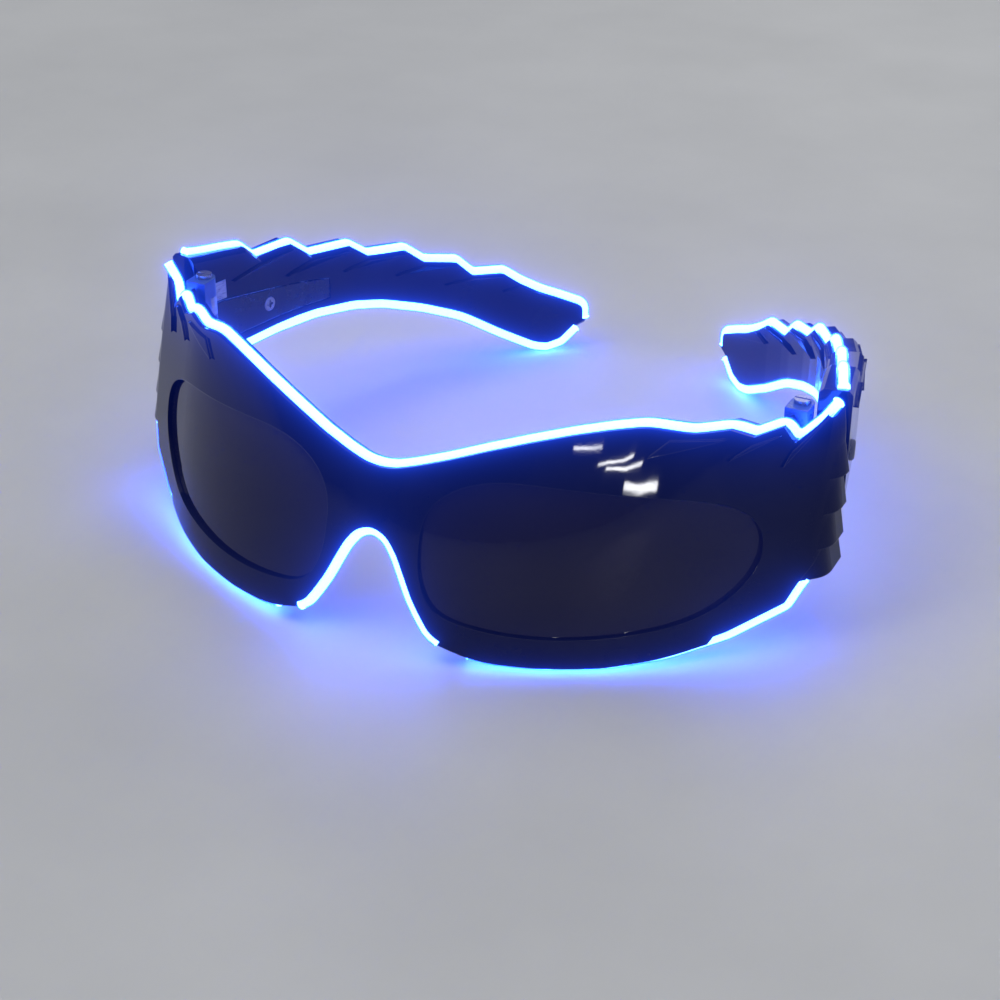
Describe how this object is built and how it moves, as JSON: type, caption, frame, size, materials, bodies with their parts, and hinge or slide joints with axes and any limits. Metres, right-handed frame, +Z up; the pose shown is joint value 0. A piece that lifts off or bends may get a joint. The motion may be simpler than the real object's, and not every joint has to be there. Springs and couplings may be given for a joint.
{
  "type": "light up party glasses",
  "caption": "Wraparound party glasses with a lens on each side, glowing wires along the frame's edges, folding stepped temples and a press button in one temple.",
  "frame": {"origin": "on the table under the middle of the whole object, temples at rest as in the picture", "axes": "+X towards the side that is on the right when the front is looked at, +Y back from the front towards the temple tips, +Z up from the table"},
  "size_m": [0.1478, 0.138, 0.0463],
  "materials": {
    "frame_plastic": "glossy dark moulded plastic",
    "temple_plastic": "glossy dark moulded plastic",
    "lens_tint": "smoke-tinted, polished",
    "light_wire": "soft translucent sleeve that glows blue-white",
    "cover_plastic": "fine satin texture",
    "hinge_plastic": "smooth",
    "leaf_metal": "stamped, lightly brushed",
    "screw_steel": "turned, zinc bright",
    "cell_steel": "nickel-plated can",
    "contact_brass": "sprung strip",
    "lead_vinyl": "insulated lead",
    "board_green": "lacquered circuit board",
    "coil_ferrite": "moulded drum coil",
    "chip_black": "moulded package",
    "switch_body": "moulded case",
    "button_cap": "satin grey cap"
  },
  "bodies": {
    "front": {"front_frame": "frame_plastic", "brow_light": "light_wire", "nose_light": "light_wire", "right_lens": "lens_tint", "right_lower_light": "light_wire", "right_hinge_bracket": "hinge_plastic", "right_hinge_screw": "screw_steel", "left_lens": "lens_tint", "left_lower_light": "light_wire", "left_hinge_bracket": "hinge_plastic", "left_hinge_screw": "screw_steel"},
    "left_temple": {"left_temple_shell": "temple_plastic", "left_temple_cover": "cover_plastic", "left_temple_leaf": "leaf_metal", "left_cover_screw": "screw_steel", "left_temple_top_light": "light_wire", "left_temple_bottom_light": "light_wire", "front_cell": "cell_steel", "rear_cell": "cell_steel", "front_cell_spring": "contact_brass", "rear_cell_spring": "contact_brass", "cell_bridge": "contact_brass", "left_lead": "lead_vinyl"},
    "right_temple": {"right_temple_shell": "temple_plastic", "right_temple_cover": "cover_plastic", "right_temple_leaf": "leaf_metal", "right_cover_screw": "screw_steel", "right_temple_top_light": "light_wire", "right_temple_bottom_light": "light_wire", "driver_board": "board_green", "driver_coil": "coil_ferrite", "driver_chip": "chip_black", "button_switch": "switch_body", "right_lead": "lead_vinyl"},
    "power_button": {"power_button": "button_cap", "button_plunger": "button_cap"}
  },
  "joints": [
    {"name": "right_temple_fold", "type": "hinge", "parent": "front", "child": "right_temple", "pos_m": [0.064, -0.02093, 0.036], "axis": [0, 0, 1], "range_deg": [-12, 75]},
    {"name": "left_temple_fold", "type": "hinge", "parent": "front", "child": "left_temple", "pos_m": [-0.064, -0.02093, 0.036], "axis": [0, 0, -1], "range_deg": [-12, 52]},
    {"name": "button_press", "type": "slide", "parent": "right_temple", "child": "power_button", "axis": [-0.9763, -0.2164, 0], "range_m": [0, 0.0004], "stiffness_N_per_m": 2500, "springref_m": -0.0002}
  ]
}
